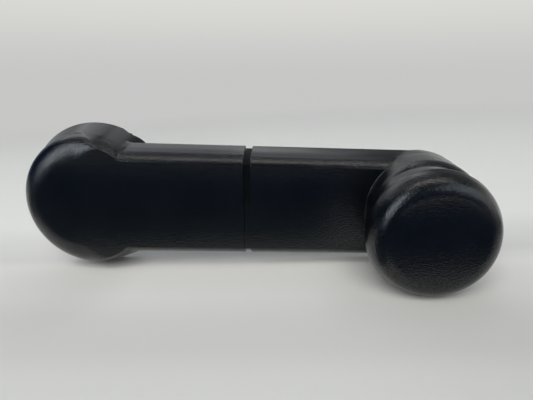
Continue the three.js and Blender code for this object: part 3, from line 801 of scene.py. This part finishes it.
def moulded(name, grain_from, wear=1.0, groove_shade=None):
    """Black moulded plastic: grained above a height, smooth behind it, and with painted shade in a groove
    between two x, where its gloss is lowered.
    """
    g = Graph(name)
    depth = g.math("MULTIPLY", g.axis("Y"), -1 / MILLIMETRE)
    grained = g.ramp(depth, *grain_from)
    smooth = g.noise(SMOOTH["waves"], 3.0, 0.5)
    tone = g.noise(CLOUDS, 4.0, 0.6)
    pebbles, broad = g.voronoi(GRAIN["pebbles"]), g.noise(GRAIN["broad"], 2.0, 0.5)
    grain = g.total((0.6, pebbles), (0.8, g.noise(GRAIN["fine"], 2.0, 0.6)), (0.1, broad))
    normal = g.bump(g.product(grain, grained), 0.8, GRAIN["relief"])
    normal = g.bump(smooth, 0.12, SMOOTH["relief"], normal)
    sparse = g.ramp(g.noise(SPECKS["patches"], 1.0, 0.4), 0.60, 0.66)
    specks = g.product(g.math("LESS_THAN", g.voronoi(SPECKS["cells"]), SPECKS["radius"]), sparse, wear)
    base = g.mix(specks, g.mix(g.ramp(tone, 0.35, 0.7), BLACK, WORN_BLACK), SPECK)
    rough = g.blend(grained, g.ramp(smooth, 0.2, 0.8, 0.20, 0.25), g.ramp(tone, 0.3, 0.7, 0.16, 0.20))
    speckle = g.total((0.7, g.noise(SPECKLE["coarse"], 2.0, 0.7)), (0.3, g.noise(SPECKLE["fine"], 1.0, 0.5)))
    gloss = g.blend(grained, 0.5, g.ramp(speckle, 0.38, 0.62, SPECKLE["least"], SPECKLE["most"]))
    # Painted shade: in the groove, below the face and mostly in its upper half, the gloss is lowered so the
    # groove reflects dark
    if groove_shade:
        along = g.math("MULTIPLY", g.axis("X"), 1 / MILLIMETRE)
        between = g.product(g.math("GREATER_THAN", along, groove_shade[0]), g.math("LESS_THAN", along, groove_shade[1]))
        below_face = g.math("LESS_THAN", depth, FACE - ARM["groove_depth"] / 2)
        inside = g.product(between, below_face, g.ramp(g.axis("Z"), -0.003, 0.004))
        gloss = g.blend(inside, gloss, 0.06)
        rough = g.blend(inside, rough, 0.4)
    return g.finish({"Base Color": base, "Roughness": rough, "Normal": normal, "Specular IOR Level": gloss,
                     "IOR": 1.5})


def metal(name, colour, roughness):
    """Plated or bare metal with fine marks and slight tarnish."""
    g = Graph(name)
    marks = g.noise(900.0, 4.0, 0.6)
    base = g.mix(g.ramp(g.noise(160.0, 3.0, 0.6), 0.35, 0.75), colour, tuple(c * 0.62 for c in colour))
    rough = g.ramp(marks, 0.25, 0.75, roughness - 0.08, roughness + 0.12)
    normal = g.bump(marks, 0.25, 0.00004)
    return g.finish({"Base Color": base, "Roughness": rough, "Normal": normal, "Metallic": 1.0})


def nylon():
    g = Graph("bush_nylon")
    cloud = g.noise(300.0, 3.0, 0.5)
    base = g.mix(g.ramp(cloud, 0.3, 0.7), (0.74, 0.71, 0.62), (0.64, 0.60, 0.50))
    rough = g.ramp(cloud, 0.3, 0.7, 0.42, 0.55)
    return g.finish({"Base Color": base, "Roughness": rough, "Normal": g.bump(cloud, 0.1, 0.0001)})


# Pieces on their bodies

def finish_piece(body, name, material, rides_on, node, axis_x=0.0):
    """Stands a piece up in the frame, smooths its shading and puts it on its body."""
    sharp_edge = math.radians(32)
    stand = Matrix.Rotation(QUARTER, 4, "X")
    body.data.transform(stand @ Matrix.Scale(MILLIMETRE, 4) @ Matrix.Translation((axis_x, 0, 0)))
    body.name = body.data.name = name
    body.data.materials.clear()
    body.data.materials.append(material)
    body.data.shade_smooth()
    body.data.set_sharp_from_angle(angle=sharp_edge)
    weighted = body.modifiers.new("weighted", "WEIGHTED_NORMAL")
    weighted.keep_sharp = True
    weighted.weight = 90
    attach(body, rides_on)
    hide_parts(node)
    return body


cover_plastic = moulded("cover_plastic", (9.2, 11.0))
# The arm's seam groove gets painted shade through lowered gloss
arm_plastic = moulded("arm_plastic", (10.6, 11.8), groove_shade=(COVER_END, SKIN_START - 0.05))
cap_plastic = moulded("knob_cap_plastic", (33.0, 34.2))
body_plastic = moulded("knob_body_plastic", (60.0, 61.0), wear=0.0)
zinc = metal("insert_zinc", (0.42, 0.42, 0.43), 0.42)
screw_steel = metal("screw_steel", (0.55, 0.53, 0.47), 0.32)
washer_steel = metal("washer_steel", (0.60, 0.61, 0.62), 0.28)
spring_steel = metal("spring_steel", (0.16, 0.155, 0.15), 0.36)
pin_steel = metal("pin_steel", (0.58, 0.59, 0.60), 0.22)

finish_piece(slide_cover(), "cover_shell", cover_plastic, "cover", "slide_cover")
finish_piece(arm_core(), "arm_shell", arm_plastic, "crank", "arm_core")
finish_piece(spline_insert(), "insert", zinc, "crank", "spline_insert")
finish_piece(hub_screw(), "screw", screw_steel, "crank", "hub_screw")
finish_piece(knob_body(), "knob_back", body_plastic, "knob", "knob_body", CRANK)
finish_piece(knob_cap(), "knob_front", cap_plastic, "knob", "knob_cap", CRANK)
finish_piece(knob_bush(), "bush", nylon(), "knob", "knob_bush", CRANK)
finish_piece(knob_pin(), "pin", pin_steel, "crank", "knob_pin", CRANK)
finish_piece(washer(FLAT_WASHER), "flat_washer", washer_steel, "crank", "hub_flat_washer")
finish_piece(spring_washer(), "lock_washer", spring_steel, "crank", "hub_spring_washer")
finish_piece(wave_washer(), "wave_washer", spring_steel, "crank", "knob_wave_washer", CRANK)
finish_piece(washer(BACK_WASHER), "back_washer", washer_steel, "crank", "pin_back_washer",
             CRANK)
finish_piece(retaining_ring(), "snap_ring", spring_steel, "crank", "pin_retaining_ring",
             CRANK)


# Floor and cove: a pale sheet under the hub's rim and the knob's rim that rises all round, far off

MIDDLE = Vector((0.05, -0.015, 0.0))
FLOOR = dict(along=0.0600, across=-0.0195, under_rim=0.00012)
PAPER = (0.700, 0.700, 0.672)
BACKDROP_LOW = (0.565, 0.570, 0.562)
BACKDROP_HIGH = (0.720, 0.715, 0.680)
# Ramps of a strip of paper in front of the arm, where a band of painted light lies, with painted shade in
# front of the knob
STRIP = (("Y", -0.006, -0.014), ("Y", -0.056, -0.030), ("X", 0.0, 0.02))

# Soft bands of light and shade on the paper: a strength, and the ramps along x or y that limit the band
PAPER_BANDS = (
    (0.17, ("Y", -0.03, 0.02)),
    (-0.068, ("Y", 0.2, 0.6)),
    (0.06, ("Y", -0.054, -0.066)),
    (-0.09, ("Y", -0.026, -0.044)),
    (-0.13, ("Y", -0.008, 0.0), ("Y", 0.04, 0.012)),
    (0.11, *STRIP),
    (-0.11, *STRIP, ("X", 0.068, 0.085), ("X", 0.125, 0.11)),
    (-0.09, ("X", 0.07, 0.13), ("Y", 0.03, -0.03)),
)


def floor_height(x, y):
    """Height in metres of the table under a point, through the two lines on which the handle rests."""
    return -HUB["rim"] * MILLIMETRE - FLOOR["under_rim"] + FLOOR["along"] * x + FLOOR["across"] * y


def add_mesh(name, points, faces, material):
    mesh = bpy.data.meshes.new(name)
    mesh.from_pydata(points, [], faces)
    mesh.materials.append(material)
    made = bpy.data.objects.new(name, mesh)
    bpy.context.scene.collection.objects.link(made)
    return made


def cove():
    flat, bend, top, columns = 1.5, 0.5, 1.4, 96
    profile = [(r, 0.0) for r in (0.02, 0.1, 0.25, 0.5, 0.9, flat)]
    profile += [(flat + bend * math.sin(a), bend * (1 - math.cos(a))) for a in turns(0, QUARTER, 10)[1:]]
    profile += [(flat + bend, top)]
    points = []
    for radius, rise in profile:
        for i in range(columns):
            x, y, _ = polar(radius, TAU * i / columns)
            x, y = MIDDLE.x + x, MIDDLE.y + y
            points.append((x, y, floor_height(x, y) + rise))
    faces = [face[::-1] for face in ring_faces(0, columns, len(profile))] + [tuple(range(columns))]
    made = add_mesh("cove", points, faces, cove_paper())
    made.data.shade_smooth()


def cove_paper():
    """Paper near the handle, with painted bands of light and shade; far off it glows in a backdrop's colour,
    painted lighter higher up, so it stays pale from every side.
    """
    g = Graph("cove_paper")
    tone = 1.0
    for strength, *ramps in PAPER_BANDS:
        limits = [g.ramp(g.axis(letter), low, high) for letter, low, high in ramps]
        tone = g.math("ADD", tone, g.product(*limits, strength))
    paper = g.node("ShaderNodeVectorMath", {0: PAPER, "Scale": tone}, operation="SCALE").outputs[0]
    g.finish({"Base Color": paper, "Roughness": 0.65, "Specular IOR Level": 0.3})
    away = g.node("ShaderNodeVectorMath", {0: g.place, 1: MIDDLE}, operation="DISTANCE").outputs["Value"]
    path = g.node("ShaderNodeLightPath").outputs
    mirrored = g.math("MAXIMUM", path["Is Glossy Ray"], path["Is Transmission Ray"])
    share = g.product(g.ramp(away, 0.16, 0.75), g.math("MAXIMUM", path["Is Camera Ray"], mirrored))
    # Painted light: far off the paper glows rather than being lit, darker low down and lighter high up
    backdrop = g.mix(g.ramp(g.axis("Z"), -0.03, 0.42), BACKDROP_LOW, BACKDROP_HIGH)
    glow = g.node("ShaderNodeEmission", {"Color": backdrop, "Strength": 1.0})
    g.show(g.node("ShaderNodeMixShader", {0: share, 1: g.shader.outputs[0], 2: glow.outputs[0]}))
    return g.material


cove()


# Lamps: soft ones that light the table and throw the shadow, and panels that only the gloss mirrors

def direction(elevation, azimuth):
    """Unit vector; azimuth 0 is in front of the handle and 90 beyond the knob."""
    e, a = math.radians(elevation), math.radians(azimuth)
    return Vector((math.sin(a) * math.cos(e), -math.cos(a) * math.cos(e), math.sin(e)))


def area(name, elevation, azimuth, distance, size, watts, colour):
    """A rectangular lamp that faces the middle of the handle."""
    lamp = bpy.data.lights.new(name, "AREA")
    lamp.shape = "RECTANGLE"
    lamp.size, lamp.size_y = size
    lamp.energy = watts
    lamp.color = colour
    made = bpy.data.objects.new(name, lamp)
    made.location = MIDDLE + direction(elevation, azimuth) * distance
    made.rotation_euler = (MIDDLE - made.location).to_track_quat("-Z", "Y").to_euler()
    bpy.context.scene.collection.objects.link(made)
    return made


def soft(name, elevation, azimuth, distance, size, share, colour):
    """A lamp that gives the table this share of a full white light and isn't mirrored."""
    watts = share * math.pi ** 2 * distance ** 2 / math.sin(math.radians(elevation))
    area(name, elevation, azimuth, distance, size, watts, colour).visible_glossy = False


def panel(name, elevation, azimuth, width, height, radiance, colour):
    """A panel some degrees wide and high, mirrored by gloss and otherwise unseen."""
    distance = 1.2
    size = tuple(2 * distance * math.tan(math.radians(a) / 2) for a in (width, height))
    made = area(name, elevation, azimuth, distance, size, math.pi * size[0] * size[1] * radiance, colour)
    made.visible_diffuse = False
    made.data.use_shadow = False


# Glowing cards round the handle, dark or grey, which only gloss mirrors: painted reflections

def card(name, points, faces, colour):
    g = Graph(name)
    # The card glows in its colour: a painted reflection, not a lamp
    g.show(g.node("ShaderNodeEmission", {"Color": (*colour, 1), "Strength": 1.0}))
    made = add_mesh(name, points, faces, g.material)
    made.visible_camera = made.visible_diffuse = made.visible_shadow = made.visible_transmission = False


def screen(name, azimuths, elevations, distance, colour):
    """A card bent round the handle at some distance, a painted reflection."""
    steps = 24
    points = [MIDDLE + direction(e, a) * distance for e in elevations for a in turns(*azimuths, steps)]
    card(name, points, [(i, i + 1, i + steps + 2, i + steps + 1) for i in range(steps)], colour)


def floor_card(name, lift, corners, colour):
    """A card that lies just over the table, a painted reflection darker than the table under it."""
    points = [(x, y, floor_height(x, y) + lift) for x, y in corners]
    card(name, points, [tuple(range(len(points)))], colour)


soft("key", 42, -8, 1.60, (1.25, 1.15), 0.72, (1.0, 0.985, 0.965))
soft("fill_back", 50, 180, 1.20, (1.6, 0.9), 0.12, (0.92, 0.96, 1.0))
soft("fill_left", 40, -90, 1.20, (0.9, 0.9), 0.07, (0.94, 0.97, 1.0))
soft("fill_right", 40, 90, 1.20, (0.9, 0.9), 0.06, (0.94, 0.97, 1.0))
panel("wall_behind", 40.5, 214.5, 59, 23, 0.95, (0.97, 0.99, 1.0))
panel("wall_middle", 52, 174, 22, 24, 0.85, (0.97, 0.99, 1.0))
panel("ceiling", 88, 180, 56, 14, 2.7, (1.0, 0.97, 0.92))
panel("window_left", 26, -56, 23, 52, 3.9, (0.86, 0.94, 1.0))
panel("window_right", 40, 54, 54, 36, 1.3, (0.80, 0.91, 1.0))
# Painted reflections: dark cards for the room and the viewer in front, darker cards over the table, and dark
# and grey cards behind
screen("room_in_front_reflection", (-125, 70), (-4, 38), 1.35, (0.008, 0.035, 0.10))
card("viewer_reflection", [(-0.20, -0.072, -0.04), (0.30, -0.072, -0.04), (0.30, -0.072, 0.005), (-0.20, -0.072, 0.005)],
     [(0, 1, 2, 3)], (0.010, 0.036, 0.10))
floor_card("floor_card", 0.0005, [(-0.2, -0.032), (0.078, -0.032), (0.082, -0.054),
                                  (0.3, -0.054), (0.3, -0.14), (-0.2, -0.14)], (0.035, 0.055, 0.085))
floor_card("floor_near", 0.0007, [(-0.2, -0.032), (0.078, -0.032), (0.08, -0.05), (-0.2, -0.056)],
           (0.10, 0.135, 0.155))
floor_card("floor_left", 0.0006, [(-0.5, -0.16), (-0.07, -0.06), (-0.07, 0.0), (-0.5, 0.04)],
           (0.17, 0.18, 0.19))
floor_card("floor_right", 0.0005, [(0.17, -0.05), (0.6, -0.12), (0.6, 0.14), (0.19, 0.02)],
           (0.20, 0.21, 0.215))
screen("rear_card", (192, 214), (-1, 28), 1.0, (0.10, 0.13, 0.16))
screen("rear_left", (214, 236), (-1, 28), 1.0, (0.38, 0.40, 0.42))
screen("rear_low", (164, 186), (10, 38), 1.0, (0.36, 0.37, 0.38))
screen("rear_right", (112, 164), (11, 54), 1.0, (0.22, 0.23, 0.235))

world = bpy.data.worlds.new("room")
bpy.context.scene.world = world
world.use_nodes = True
background = world.node_tree.nodes["Background"].inputs
background[0].default_value = (0.35, 0.5, 0.8, 1)
background[1].default_value = 0.10


# Camera of the photograph

def camera():
    focal_pixels, image_width, sensor = 431.9, 533, 36.0
    pitch, yaw, roll = 0.2983, -0.0605, -0.0005
    shift = Vector((-5.594, 1.645, 143.80))
    turn = Matrix.Rotation(roll, 3, "Z") @ Matrix.Rotation(pitch, 3, "X") @ Matrix.Rotation(yaw, 3, "Y")
    stand = Matrix(((1, 0, 0), (0, 0, -1), (0, 1, 0)))  # x, up, to the viewer -> the frame's axes
    place = Vector((CRANK / 2, 0, 0)) + turn.transposed() @ Vector((-shift.x, -shift.y, shift.z))
    lens = bpy.data.cameras.new("camera")
    lens.sensor_width = sensor
    lens.lens = focal_pixels / image_width * sensor
    lens.clip_start, lens.clip_end = 0.005, 20
    made = bpy.data.objects.new("camera", lens)
    matrix = (stand @ turn.transposed()).to_4x4()
    matrix.translation = (stand @ place) * MILLIMETRE
    made.matrix_world = matrix
    bpy.context.scene.collection.objects.link(made)
    bpy.context.scene.camera = made


camera()
bpy.context.scene.view_settings.view_transform = "Standard"

bpy.context.view_layer.update()
